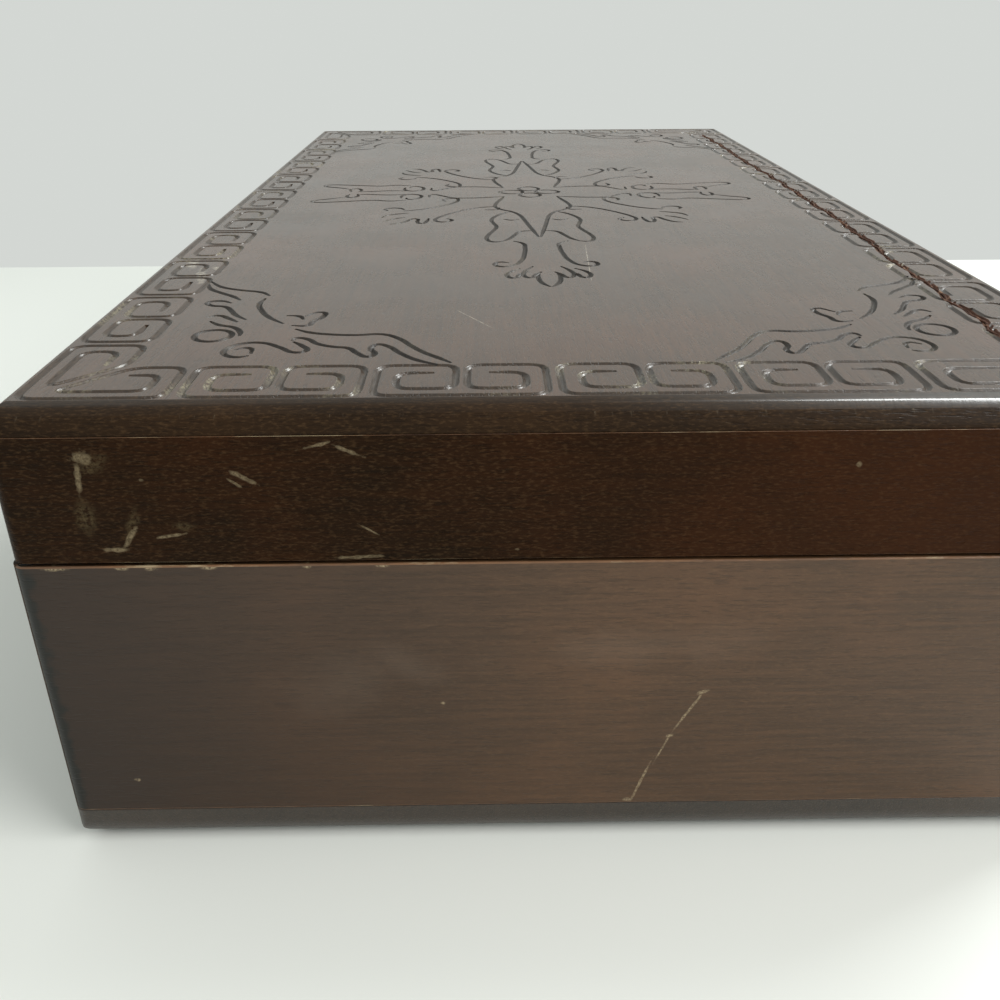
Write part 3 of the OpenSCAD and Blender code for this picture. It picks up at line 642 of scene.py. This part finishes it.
# Lines of the middle ornament: (across, along) in mm from its middle, one quarter of it
ORNAMENT_MIDDLE = (-8.4, -2.6)
ORNAMENT_LINES = [
    # the long lozenge through the middle
    [(8.8, 8.4), (10.0, 14.0), (11.5, 21.0), (11.8, 27.0), (9.8, 31.2), (6.8, 34.6),
     (4.6, 40.0), (3.6, 46.0), (2.6, 54.0), (1.4, 63.0), (0.3, 71.0)],
    # side arm: the line out of the lozenge, its hook, the ring, and the long leaf
    [(8.8, 8.4), (13.5, 9.8), (20.0, 10.8), (26.0, 10.0), (29.2, 6.6), (32.6, 4.0), (33.6, 9.0)],
    [(41.2, 9.6), (40.0, 12.4), (37.8, 11.6), (36.2, 8.0), (37.2, 4.4), (40.4, 3.2),
     (42.6, 5.6), (42.8, 10.2)],
    [(40.4, 3.2), (48.0, 4.0), (55.0, 2.6), (58.0, 2.6)],
    [(58.0, 2.2), (57.6, 6.2), (59.6, 8.6), (61.2, 5.4), (60.6, 2.6)],
    [(61.4, 7.2), (66.0, 10.6), (70.0, 12.8), (71.4, 14.8), (70.0, 16.6), (64.0, 16.2),
     (57.0, 14.6), (51.5, 13.6), (46.0, 15.2), (41.0, 13.8)],
    # slanting leafy arm
    [(27.8, 16.8), (28.6, 13.8), (26.8, 11.6), (24.6, 11.4), (23.8, 14.4), (24.8, 18.6),
     (28.0, 23.4), (32.6, 28.2), (37.0, 31.0), (40.4, 32.2)],
    [(40.2, 30.4), (41.6, 28.0), (44.4, 27.4), (46.2, 29.4), (45.2, 32.0)],
    [(12.2, 26.2), (15.6, 27.0), (19.8, 29.8), (23.6, 34.0), (26.8, 38.6), (29.2, 43.2),
     (30.0, 46.6), (28.4, 49.4), (25.8, 48.8), (25.0, 46.4), (26.6, 44.6)],
    [(10.6, 27.8), (11.4, 31.0), (15.2, 31.2)],
    [(32.0, 44.0), (32.4, 48.4), (33.8, 51.6), (35.0, 49.8), (36.0, 44.4), (38.2, 48.0),
     (40.6, 51.4), (43.0, 52.2)],
    [(39.2, 42.4), (42.0, 44.2), (45.2, 48.6)],
    [(38.6, 35.6), (41.6, 37.0), (44.8, 39.2), (46.2, 42.6)],
    # end arm: shoulder, curl, leaf and column
    [(6.8, 34.6), (9.2, 36.8), (11.6, 41.0), (13.2, 47.0), (12.6, 52.0), (11.8, 57.0),
     (12.8, 62.4), (14.2, 68.0), (14.6, 73.4), (13.0, 76.6), (10.2, 76.0)],
    [(9.6, 46.0), (7.2, 47.6), (5.0, 46.2)],
    [(2.0, 62.6), (4.8, 63.4), (6.8, 68.0), (8.6, 73.2), (10.6, 76.2)],
    [(7.4, 75.8), (5.0, 78.6), (4.6, 84.0), (5.0, 91.0), (6.0, 98.0), (8.6, 103.4), (11.4, 104.2),
     (12.8, 101.8), (11.4, 99.6), (9.2, 100.4)],
    [(3.4, 104.2), (5.4, 108.8), (6.0, 113.0), (4.6, 115.2), (3.0, 112.2), (1.6, 109.6)],
    [(2.2, 110.4), (2.6, 116.0), (1.8, 120.6), (0.2, 123.6)],
    [(6.6, 106.4), (9.2, 109.6), (9.8, 114.0), (8.4, 115.4), (6.8, 112.0), (5.6, 110.6)],
]
PETAL = [(0.0, 2.2), (2.6, 3.6), (3.4, 6.4), (2.0, 9.0), (0.0, 10.0), (-2.0, 9.0), (-3.4, 6.4), (-2.6, 3.6)]

# Lines of a corner ornament: (from the side edge, from the end edge) in mm
CORNER_LINES = [
    [(18.2, 83.0), (22.0, 77.8), (27.0, 75.0), (32.0, 73.0), (34.4, 70.0)],
    [(33.8, 68.0), (33.4, 63.4), (34.8, 58.6), (37.4, 53.4), (41.2, 48.8)],
    [(40.8, 54.6), (43.6, 54.0), (44.8, 51.6)],
    [(44.6, 54.0), (48.0, 56.8), (48.6, 53.6), (47.0, 50.2), (46.2, 47.4), (43.0, 47.6)],
    [(44.2, 45.2), (47.4, 42.8), (51.6, 41.4), (57.0, 40.8), (62.0, 41.2), (65.4, 38.4),
     (68.0, 34.0), (70.6, 30.0), (73.6, 26.6), (76.0, 23.8)],
    [(18.0, 81.0), (19.8, 76.2), (23.2, 72.6), (26.4, 69.6), (28.6, 66.6)],
    [(27.2, 64.4), (24.4, 66.2), (22.0, 65.2), (23.0, 62.8), (26.4, 61.6), (28.4, 58.6),
     (30.0, 55.4), (33.0, 51.8)],
    [(24.6, 53.4), (26.4, 55.0), (29.4, 52.6), (31.6, 50.2)],
    [(25.8, 51.0), (28.2, 48.4), (31.6, 46.6), (33.6, 43.4), (34.0, 40.8)],
    [(38.6, 29.8), (37.4, 33.4), (35.0, 32.2)],
    [(38.4, 28.8), (36.2, 28.0), (33.6, 29.8), (33.4, 33.0), (35.6, 36.0), (39.4, 36.4),
     (43.4, 33.4), (46.8, 30.4), (48.6, 31.4), (47.2, 34.6), (45.2, 37.0)],
    [(44.8, 37.4), (45.6, 39.2), (47.6, 38.6), (50.0, 35.6), (53.4, 33.6), (56.2, 32.8),
     (58.4, 29.6), (60.6, 27.6), (61.6, 29.4), (60.6, 32.2), (61.6, 34.8), (63.4, 34.0),
     (66.4, 29.4), (70.0, 25.2), (74.6, 22.4)],
]
RING_MIDDLE, RING_HALF = (28.8, 41.2), (3.6, 3.7)

SPLIT_LINE = [
    (-161, 86.5), (-120, 87.4), (-79, 86.6), (-30, 87.6), (10, 87.0), (52, 86.7), (63, 85.6),
    (74, 85.4), (88, 84.5), (99, 84.4), (109, 83.8), (124, 83.5), (136, 82.9), (147, 83.1),
    (160, 82.2), (174, 82.4), (184, 81.8),
]


def gouge_shape(name, half_width, depth):
    """The gouge's cut across the groove, its lips eased, open above the board."""
    shape = bpy.data.curves.new(name, "CURVE")
    shape.dimensions = "2D"
    line = shape.splines.new("POLY")
    side = [(1.25, 0.6), (1.25, 0.03), (1.02, -0.1), (0.82, -0.38), (0.5, -0.8), (0.0, -1.0)]
    outline = side + [(-u, v) for u, v in side[-2::-1]]
    line.points.add(len(outline) - 1)
    for point, (u, v) in zip(line.points, outline):
        point.co = (u * half_width * MM, v * depth * MM, 0, 1)
    line.use_cyclic_u = True
    made = bpy.data.objects.new(name, shape)
    scene.collection.objects.link(made)
    return made


def gouge_along(lines, shape, finish, smooth, closed=False, ends=0.45):
    """One cutter mesh that follows each line on the board's face, thinner at its ends."""
    path = bpy.data.curves.new("gouge_path", "CURVE")
    path.dimensions = "3D"
    path.twist_mode = "Z_UP"
    path.resolution_u = 4
    for line in lines:
        spline = path.splines.new("BEZIER" if smooth else "POLY")
        points = spline.bezier_points if smooth else spline.points
        points.add(len(line) - 1)
        for i, (point, (x, y)) in enumerate(zip(points, line)):
            place = Vector((x * MM, y * MM, TOP * MM))
            if smooth:
                point.co = place
                point.handle_left_type = "AUTO"
                point.handle_right_type = "AUTO"
            else:
                point.co = (*place, 1)
            last = i in (0, len(line) - 1) and not closed
            point.radius = ends if last else 1.0
        spline.use_cyclic_u = closed
    path.bevel_mode = "OBJECT"
    path.bevel_object = shape
    path.use_fill_caps = True
    return meshed(path, "gouge", finish)


def carve(board, cutters):
    """Takes all cutters off the board at once; they may cross each other."""
    bpy.ops.object.select_all(action="DESELECT")
    for cutter in cutters:
        cutter.select_set(True)
    cutter = cutters[0]
    bpy.context.view_layer.objects.active = cutter
    bpy.ops.object.join()
    cut = board.modifiers.new("carve", "BOOLEAN")
    cut.operation = "DIFFERENCE"
    cut.solver = "EXACT"
    cut.use_self = True
    cut.material_mode = "TRANSFER"
    cut.object = cutter
    make_active(board)
    bpy.ops.object.modifier_apply(modifier=cut.name)
    bpy.data.objects.remove(cutter)


def plain_board(finish):
    """The top board before carving: upright corners rounded, upper edge run down in an arc."""
    lo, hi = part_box("top_board")
    size = hi - lo
    land = EDGE_LAND * MM
    bpy.ops.mesh.primitive_cube_add(size=1, location=(0, 0, lo.z + land / 2), scale=(size.x, size.y, land))
    board = bpy.context.active_object
    board.name = "carved_top"
    bpy.ops.object.transform_apply(location=True, rotation=True, scale=True)
    bpy.ops.object.mode_set(mode="EDIT")
    mesh = bmesh.from_edit_mesh(board.data)
    for edge in mesh.edges:
        edge.select_set(abs(edge.verts[0].co.z - edge.verts[1].co.z) > land / 2)
    bmesh.update_edit_mesh(board.data)
    bpy.ops.mesh.bevel(
        offset=BOARD_CORNER * MM, offset_type="OFFSET", segments=6, profile=0.5, affect="EDGES")
    mesh = bmesh.from_edit_mesh(board.data)
    mesh.select_mode = {"FACE"}
    for face in mesh.faces:
        face.select_set(face.normal.z > 0.9)
    bmesh.update_edit_mesh(board.data)
    arc, drop = EDGE_ARC * MM, EDGE_DROP * MM
    first = math.asin((arc - drop) / arc)
    run = arc * math.cos(first)
    inset, height = 0.0, lo.z + land
    for i in range(1, EDGE_STEPS + 1):
        angle = first + (math.pi / 2 - first) * i / EDGE_STEPS
        new_inset = run - arc * math.cos(angle)
        new_height = hi.z - arc + arc * math.sin(angle)
        grow = (
            (size.x - 2 * new_inset) / (size.x - 2 * inset),
            (size.y - 2 * SIDE_SHARE * new_inset) / (size.y - 2 * SIDE_SHARE * inset),
            1,
        )
        bpy.ops.mesh.extrude_region_move(TRANSFORM_OT_translate={"value": (0, 0, new_height - height)})
        bpy.ops.transform.resize(value=grow, center_override=(0, 0, new_height))
        inset, height = new_inset, new_height
    bpy.ops.object.mode_set(mode="OBJECT")
    cleaned(board)
    board.data.materials.clear()
    for part in (finish, rounded_edge_finish(), shiny_rim_finish()):
        board.data.materials.append(part)
    flattest, steepest = math.cos(math.radians(RIM_STARTS)), math.cos(math.radians(RIM_ENDS))
    edge, rim = 1, 2
    for face in board.data.polygons:
        at_end = abs(face.normal.x) > 0.05
        if face.normal.z < steepest:
            face.material_index = edge
        elif at_end and face.normal.z < flattest:
            face.material_index = rim
    return board


def ornament_quarters(line):
    """A line of the middle ornament, mirrored along and across."""
    along, across = ORNAMENT_MIDDLE
    return [[(along + sx * v, across + sy * u) for u, v in line] for sx in (1, -1) for sy in (1, -1)]


def corner_quarters(line):
    """A line of a corner ornament, in each of the four corners."""
    return [[(sx * (HALF_LONG - v), sy * (HALF_WIDE - u)) for u, v in line]
            for sx in (1, -1) for sy in (1, -1)]


def petals():
    along, across = ORNAMENT_MIDDLE
    return [
        [(along + v, across + u) for u, v in PETAL],
        [(along - v, across - u) for u, v in PETAL],
        [(along - u, across + v) for u, v in PETAL],
        [(along + u, across - v) for u, v in PETAL],
    ]


def ring():
    steps = 10
    turns = [2 * math.pi * i / steps for i in range(steps)]
    return [(RING_MIDDLE[0] + RING_HALF[0] * math.cos(t), RING_MIDDLE[1] + RING_HALF[1] * math.sin(t))
            for t in turns]


def split_points():
    """The split wanders from side to side by up to half a millimetre."""
    line = []
    for (x, y), (next_x, next_y) in zip(SPLIT_LINE, SPLIT_LINE[1:]):
        pieces = max(2, round((next_x - x) / 4))
        for i in range(pieces):
            t = i / pieces
            px = x + (next_x - x) * t
            sway = 0.45 * math.sin(px * 1.9) + 0.3 * math.sin(px * 4.3 + 1)
            line.append((px, y + (next_y - y) * t + sway))
    return line


def split_fibres(finish):
    """Two torn strands that twist about each other along the split, below the board's face."""
    path = bpy.data.curves.new("split_fibres", "CURVE")
    path.dimensions = "3D"
    path.bevel_depth = 0.3 * MM
    path.bevel_resolution = 2
    path.use_fill_caps = True
    for phase in (0.0, math.pi):
        points = []
        line = split_points()
        for (x, y), (next_x, next_y) in zip(line, line[1:]):
            for i in range(3):
                t = i / 3
                px, py = x + (next_x - x) * t, y + (next_y - y) * t
                turn = px * 0.55 + 2.2 * math.sin(px * 0.13) + phase
                points.append((px, py + 0.4 * math.sin(turn), TOP - 0.52 + 0.14 * math.cos(turn),
                               0.85 + 0.3 * math.sin(px * 0.29 + phase)))
        spline = path.splines.new("POLY")
        spline.points.add(len(points) - 1)
        for point, (px, py, pz, girth) in zip(spline.points, points):
            point.co = (px * MM, py * MM, pz * MM, 1)
            point.radius = girth
    strands = meshed(path, "split_fibres", finish)
    smooth_by_angle(strands, 60)
    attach(strands, "lid")


def carved_top():
    shallow_groove = groove_finish("border_groove", tint(34, 24, 15), tint(62, 46, 32), 0.33, 0.25, 0.8)
    fine_groove = groove_finish("fine_groove", tint(22, 15, 9), tint(38, 26, 16), 0.45, 0.0, 0.2)
    board = plain_board(carved_board_finish())
    border_gouge = gouge_shape("border_gouge", *BORDER_GOUGE)
    fine_gouge = gouge_shape("fine_gouge", *FINE_GOUGE)
    split_gouge = gouge_shape("split_gouge", *SPLIT_GOUGE)
    fine_lines = [part for line in ORNAMENT_LINES for part in ornament_quarters(line)]
    fine_lines += [part for line in CORNER_LINES for part in corner_quarters(line)]
    rings = petals() + corner_quarters(ring())
    torn = split_finish()
    carve(board, [
        gouge_along(border_lines(), border_gouge, shallow_groove, False, ends=0.6),
        gouge_along(fine_lines, fine_gouge, fine_groove, True),
        gouge_along(rings, fine_gouge, fine_groove, True, closed=True),
        gouge_along([split_points()], split_gouge, torn, False, ends=0.2),
    ])
    split_fibres(torn)
    for shape in (border_gouge, fine_gouge, split_gouge):
        bpy.data.objects.remove(shape)
    weight = board.modifiers.new("flat_faces", "WEIGHTED_NORMAL")
    weight.keep_sharp = True
    smooth_by_angle(board, 35)
    apply_all(board)
    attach(board, "lid")
    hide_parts("top_board")
    return board


# Case, lid rails and bottom board

def wooden_case():
    end_wall = end_wall_finish()
    long_wall = side_wall_finish()
    end_rail = end_rail_finish()
    long_rail = side_rail_finish()
    foot = foot_finish()
    # These arris finishes paint highlights along the eased edges as well as wear.
    base_end_arris = worn_and_highlit_arris("base_arris_end", BASE_TONE, BASE_WARM, "Y", 0.45)
    base_long_arris = worn_and_highlit_arris("base_arris_long", BASE_TONE, BASE_WARM, "X", 0.4)
    lid_end_arris = worn_and_highlit_arris("lid_arris_end", LID_TONE, LID_WARM, "Y", 0.75)
    lid_long_arris = worn_and_highlit_arris("lid_arris_long", LID_DEEP, LID_TONE, "X", 0.3)
    for side, end in (("left", True), ("right", True), ("front", False), ("back", False)):
        wall = worn_copy(f"base_{side}_wall", f"{side}_wall", 0.4, end_wall if end else long_wall,
                         base_end_arris if end else base_long_arris)
        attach(wall, "base")
        rail = worn_copy(f"lid_{side}_rail", f"{side}_rail", 0.35, end_rail if end else long_rail,
                         lid_end_arris if end else lid_long_arris)
        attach(rail, "lid")
    board = worn_copy("bottom_board", "foot_board", 0.3, foot)
    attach(board, "base")


# Brass: leaves and plates with eased edges, small pins as the CAD draws them

def brass_work():
    brass = aged_brass()
    eased = {
        "base": ("base_leaf_left", "base_leaf_right", "catch_plate", "catch_stud"),
        "lid": ("lid_leaf_left", "lid_leaf_right", "latch_plate", "latch_rivet"),
        "hook": ("latch_hook",),
    }
    for body, nodes in eased.items():
        for node in nodes:
            piece = worn_copy(node, f"eased_{node}", 0.15, brass)
            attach(piece, body)
    for node in ("hinge_pin_left", "hinge_pin_right", "base_hinge_screws", "lid_hinge_screws",
                 "catch_plate_pins", "latch_plate_pins"):
        for slot in bpy.data.objects[node].material_slots:
            slot.material = brass


# Velvet, and the pads: their rounded edge in mm, and how closely their puckers follow each other

PAD_EDGE, PUCKER_REACH = 5.0, 9.0
PUCKERS = 410


def lining_boards(velvet):
    for body in ("base", "lid"):
        for side in ("front", "back", "left", "right"):
            board = worn_copy(f"{body}_{side}_lining", f"{body}_{side}_velvet", 0.6, velvet)
            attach(board, body)


def pad(node, name, body, velvet, up):
    """A thin padded panel: flat where it is glued, full in the middle, drawn in at its edge."""
    lo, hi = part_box(node)
    size = hi - lo
    middle = (lo + hi) / 2
    bpy.ops.object.select_all(action="DESELECT")
    bpy.ops.mesh.primitive_cube_add(size=1, location=middle, scale=size)
    piece = bpy.context.active_object
    piece.name = name
    bpy.ops.object.transform_apply(location=True, rotation=True, scale=True)
    bpy.ops.object.mode_set(mode="EDIT")
    bpy.ops.mesh.select_all(action="SELECT")
    bpy.ops.mesh.subdivide(number_cuts=40)
    bpy.ops.object.mode_set(mode="OBJECT")
    edge = PAD_EDGE * MM
    for vertex in piece.data.vertices:
        x, y = vertex.co.x - middle.x, vertex.co.y - middle.y
        to_edge = min(size.x / 2 - abs(x), size.y / 2 - abs(y))
        share = (vertex.co.z - lo.z) / size.z if up > 0 else (hi.z - vertex.co.z) / size.z
        fullness = math.sqrt(max(0.0, 1 - (1 - min(1.0, to_edge / edge)) ** 2))
        pucker = 0.5 + 0.5 * math.sin(x * PUCKERS) * math.sin(y * PUCKERS + 1)
        near_edge = math.exp(-to_edge / (PUCKER_REACH * MM))
        crown = 0.36 + 0.5 * fullness - 0.08 * near_edge * pucker
        crown += 0.14 * math.cos(math.pi * x / size.x) * math.cos(math.pi * y / size.y)
        height = share * size.z * crown
        vertex.co.z = lo.z + height if up > 0 else hi.z - height
        draw = 0.5 * MM * share * (0.4 + 0.6 * pucker)
        if to_edge < 0.1 * MM:
            vertex.co.x -= math.copysign(draw, x) if size.x / 2 - abs(x) < 0.1 * MM else 0
            vertex.co.y -= math.copysign(draw, y) if size.y / 2 - abs(y) < 0.1 * MM else 0
    round_over = piece.modifiers.new("soft_edge", "SUBSURF")
    round_over.levels = 1
    round_over.render_levels = 1
    apply_all(piece)
    smooth_by_angle(piece, 80)
    piece.data.materials.append(velvet)
    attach(piece, body)
    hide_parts(node)


# Studio: a pale sweep that bends up into a wall behind the far end, sizes in metres

FLOOR_MIDDLE, FLOOR_LENGTH, FLOOR_WIDTH = 0.41, 1.4, 4.0
BEND, BEND_STEPS, WALL_HEIGHT = 0.06, 16, 0.9
BACK_PALE, FRONT_PALE, WALL_PALE = tint(220, 223, 218), tint(240, 242, 238), tint(248, 250, 246)


def plain_finish(name, far, near, rough):
    """Pale board, a little greyer at the back than at the front: painted shade against the lamp that lights
    the far floor strongly.
    """
    finish, tree, shader = new_finish(name)
    place = object_place(tree)
    along = run_of(tree, place, "X")
    # Painted shade: the far floor is made greyer to offset the lamp near it.
    colour = mixed(tree, levels(tree, along, -0.3, 0.3), far, near)
    cloudy = noise(tree, place, 3.0, 3.0, 0.5)
    shade = mixed(tree, levels(tree, cloudy, 0.3, 0.7, 0.0, 0.25), colour, tint(226, 228, 224))
    recolour(tree, shader, shade)
    shader.inputs["Roughness"].default_value = rough
    shader.inputs["Specular IOR Level"].default_value = 0.3
    return finish


def studio():
    bpy.ops.mesh.primitive_plane_add(size=1, location=(FLOOR_MIDDLE, 0, 0), scale=(1, 1, 1))
    floor = bpy.context.active_object
    floor.name = "table_sweep"
    bpy.ops.object.mode_set(mode="EDIT")
    bpy.ops.transform.resize(
        value=(FLOOR_LENGTH, FLOOR_WIDTH, 1), center_override=(FLOOR_MIDDLE, 0, 0))
    mesh = bmesh.from_edit_mesh(floor.data)
    for edge in mesh.edges:
        edge.select_set(all(vertex.co.x < 0 for vertex in edge.verts))
    bmesh.update_edit_mesh(floor.data)
    step = BEND * math.radians(90) / BEND_STEPS
    for i in range(BEND_STEPS):
        angle = math.radians(90) * (i + 0.5) / BEND_STEPS
        bpy.ops.mesh.extrude_region_move(TRANSFORM_OT_translate={
            "value": (-step * math.cos(angle), 0, step * math.sin(angle))})
    bpy.ops.mesh.extrude_region_move(TRANSFORM_OT_translate={"value": (0, 0, WALL_HEIGHT)})
    bpy.ops.object.mode_set(mode="OBJECT")
    bpy.ops.object.transform_apply(location=True, rotation=True, scale=True)
    smooth_by_angle(floor, 30)
    floor.data.materials.append(plain_finish("pale_board", BACK_PALE, FRONT_PALE, 0.6))
    floor.data.materials.append(plain_finish("pale_wall", WALL_PALE, WALL_PALE, 0.6))
    for face in floor.data.polygons:
        face.material_index = 1 if face.center.z > 0.004 else 0


def soft_lamp(name, place, aim, size, power, colour):
    data = bpy.data.lights.new(name, "AREA")
    data.shape = "RECTANGLE"
    data.size, data.size_y = size
    data.energy = power
    data.color = colour
    lamp = bpy.data.objects.new(name, data)
    scene.collection.objects.link(lamp)
    lamp.location = place
    lamp.rotation_euler = (Vector(aim) - Vector(place)).to_track_quat("-Z", "Y").to_euler()


def lights():
    soft_lamp("window_behind", (-0.27, 0.6, 0.82), (0, 0, 0.05), (0.42, 0.24), 6.8, (0.97, 1.0, 0.99))
    soft_lamp("window_right", (0.6, 1.0, 0.85), (0.1, 0, 0.05), (1.0, 0.8), 14, (1.0, 0.99, 0.97))
    world = bpy.data.worlds.new("pale_room")
    scene.world = world
    world.use_nodes = True
    sky = world.node_tree.nodes["Background"]
    sky.inputs["Color"].default_value = tint(232, 236, 232)
    sky.inputs["Strength"].default_value = 0.81


camera_at_photo()
studio()
lights()
carved_top()
wooden_case()
brass_work()
velvet_cloth = wine_velvet()
lining_boards(velvet_cloth)
pad("floor_pad", "floor_cushion", "base", velvet_cloth, 1)
pad("lid_pad", "lid_cushion", "lid", velvet_cloth, -1)

scene.view_settings.view_transform = "Standard"
